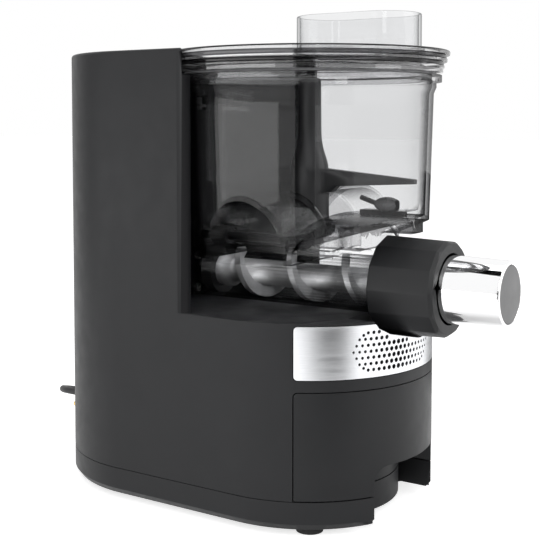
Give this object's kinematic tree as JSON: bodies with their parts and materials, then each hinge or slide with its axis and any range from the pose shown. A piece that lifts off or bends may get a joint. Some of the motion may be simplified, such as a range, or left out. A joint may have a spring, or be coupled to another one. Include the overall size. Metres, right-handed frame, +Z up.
{
  "type": "electric pasta maker",
  "caption": "Countertop pasta maker: charcoal tower with motor and gearbox, clear mixing bowl with paddle and auger, lid with cup, perforated front panel, drawer, faceted nut and chrome outlet.",
  "frame": {"origin": "under the middle of the machine, on the surface it stands on, with the lead and plug left out", "axes": "+Z up, the front with the outlet faces -Y, +X to the right seen from the front"},
  "size_m": [0.2023, 0.3948, 0.3225],
  "materials": {
    "housing_plastic": "fine matt texture",
    "drawer_plastic": "satin",
    "tray_plastic": "satin moulded",
    "brushed_metal": "brushed along the front",
    "panel_gloss": "polished",
    "window_clear": "polished",
    "button_metal": "satin",
    "board_green": "lacquered",
    "dock_plastic": "satin",
    "steel": "machined",
    "screw_steel": "zinc plated",
    "gear_plastic": "moulded",
    "gearbox_plastic": "moulded",
    "bush_brass": "machined",
    "motor_paint": "grey coat",
    "motor_core": "lacquered",
    "magnet": "sintered",
    "rubber_black": "matt",
    "clear_smoke": "clear, lightly smoked",
    "paddle_plastic": "fine grain",
    "auger_metal": "satin",
    "disc_plastic": "matt",
    "nut_plastic": "satin",
    "chrome_plate": "polished",
    "disc_grey": "matt",
    "gasket_grey": "soft",
    "cord_rubber": "matt",
    "plug_metal": "plated"
  },
  "bodies": {
    "housing": {"housing_shell": "housing_plastic", "rear_cover": "housing_plastic", "base_tray": "housing_plastic", "rubber_feet": "rubber_black", "grille_panel": "brushed_metal", "top_panel": "panel_gloss", "display_window": "window_clear", "control_board": "board_green", "dock_plate": "dock_plastic", "dock_screws": "screw_steel", "dock_rails": "dock_plastic", "reduction_axle": "steel", "gearbox_case": "gearbox_plastic", "gearbox_cover": "gearbox_plastic", "cover_screws": "screw_steel", "shaft_bushes": "bush_brass", "shaft_seals": "rubber_black", "motor_can": "motor_paint", "motor_bearings": "steel", "motor_magnets": "magnet", "motor_cradle": "gearbox_plastic", "power_board": "board_green", "lid_switch": "gearbox_plastic", "air_fan_case": "gearbox_plastic", "air_fan_motor": "motor_paint", "cord_gland": "rubber_black", "cord_lead": "cord_rubber", "cord_coil": "cord_rubber", "plug_body": "cord_rubber", "plug_pins": "plug_metal"},
    "drawer": {"drawer_front": "drawer_plastic", "drawer_tray": "tray_plastic", "spare_discs": "disc_plastic"},
    "power_button": {"button_power": "button_metal"},
    "menu_button": {"button_menu": "button_metal"},
    "plus_button": {"button_plus": "button_metal"},
    "start_button": {"button_start": "button_metal"},
    "rotor": {"motor_rotor": "motor_core", "motor_pinion": "steel"},
    "reduction": {"reduction_gear": "gear_plastic"},
    "drive": {"output_gear": "gear_plastic", "transfer_gear": "gear_plastic", "drive_shaft": "steel"},
    "upper_drive": {"upper_shaft": "steel"},
    "fan": {"air_fan_wheel": "gear_plastic"},
    "bowl_unit": {"bowl": "clear_smoke", "barrel_bush": "disc_plastic", "shaping_disc": "disc_plastic"},
    "lid_unit": {"lid": "clear_smoke", "lid_gasket": "gasket_grey"},
    "cup": {"measuring_cup": "clear_smoke"},
    "auger_screw": {"auger": "auger_metal"},
    "lay": {"lay_shaft": "steel"},
    "mixer": {"paddle": "paddle_plastic", "paddle_gear": "gear_plastic"},
    "front_nut": {"nut": "nut_plastic"},
    "sleeve": {"outlet_sleeve": "chrome_plate", "sleeve_disc": "disc_grey"}
  },
  "joints": [
    {"name": "drawer_slide", "type": "slide", "parent": "housing", "child": "drawer", "axis": [0, -1, 0], "range_m": [0, 0.08]},
    {"name": "power_press", "type": "slide", "parent": "housing", "child": "power_button", "axis": [0, 0, -1], "range_m": [0, 0.001], "stiffness_N_per_m": 400, "springref_m": -0.0005},
    {"name": "menu_press", "type": "slide", "parent": "housing", "child": "menu_button", "axis": [0, 0, -1], "range_m": [0, 0.001], "stiffness_N_per_m": 400, "springref_m": -0.0005},
    {"name": "plus_press", "type": "slide", "parent": "housing", "child": "plus_button", "axis": [0, 0, -1], "range_m": [0, 0.001], "stiffness_N_per_m": 400, "springref_m": -0.0005},
    {"name": "start_press", "type": "slide", "parent": "housing", "child": "start_button", "axis": [0, 0, -1], "range_m": [0, 0.001], "stiffness_N_per_m": 400, "springref_m": -0.0005},
    {"name": "drive_spin", "type": "hinge", "parent": "housing", "child": "drive", "pos_m": [0, 0, 0.149], "axis": [0, 1, 0], "continuous": true},
    {"name": "rotor_spin", "type": "hinge", "parent": "housing", "child": "rotor", "pos_m": [0, 0, 0.068], "axis": [0, 1, 0], "continuous": true},
    {"name": "reduction_spin", "type": "hinge", "parent": "housing", "child": "reduction", "pos_m": [0.01388, 0, 0.10149], "axis": [0, 1, 0], "continuous": true},
    {"name": "upper_drive_spin", "type": "hinge", "parent": "housing", "child": "upper_drive", "pos_m": [0, 0, 0.173], "axis": [0, 1, 0], "continuous": true},
    {"name": "fan_spin", "type": "hinge", "parent": "housing", "child": "fan", "pos_m": [0, -0.058, 0.1], "axis": [0, 0, 1], "continuous": true},
    {"name": "bowl_dock", "type": "slide", "parent": "housing", "child": "bowl_unit", "axis": [0, -1, 0], "range_m": [0, 0.15]},
    {"name": "lid_lift", "type": "slide", "parent": "bowl_unit", "child": "lid_unit", "axis": [0, 0, 1], "range_m": [0, 0.1]},
    {"name": "cup_lift", "type": "slide", "parent": "lid_unit", "child": "cup", "axis": [0, 0, 1], "range_m": [0, 0.08]},
    {"name": "auger_spin", "type": "hinge", "parent": "bowl_unit", "child": "auger_screw", "pos_m": [0, 0, 0.149], "axis": [0, 1, 0], "continuous": true},
    {"name": "lay_spin", "type": "hinge", "parent": "bowl_unit", "child": "lay", "pos_m": [0, 0, 0.173], "axis": [0, 1, 0], "continuous": true},
    {"name": "mixer_spin", "type": "hinge", "parent": "bowl_unit", "child": "mixer", "pos_m": [0, -0.021, 0.2], "axis": [0, 0, 1], "continuous": true},
    {"name": "nut_turn", "type": "hinge", "parent": "bowl_unit", "child": "front_nut", "pos_m": [0, -0.1, 0.149], "axis": [0, 1, 0], "range_deg": [0, 90]},
    {"name": "sleeve_pull", "type": "slide", "parent": "bowl_unit", "child": "sleeve", "axis": [0, -1, 0], "range_m": [0, 0.05]}
  ],
  "couplings": [
    {"joint": "reduction_spin", "follows": "drive_spin", "ratio": -3.7143},
    {"joint": "rotor_spin", "follows": "drive_spin", "ratio": 17.829},
    {"joint": "upper_drive_spin", "follows": "drive_spin", "ratio": -1},
    {"joint": "auger_spin", "follows": "drive_spin", "ratio": 1},
    {"joint": "lay_spin", "follows": "drive_spin", "ratio": -1},
    {"joint": "mixer_spin", "follows": "drive_spin", "ratio": 0.38462}
  ]
}
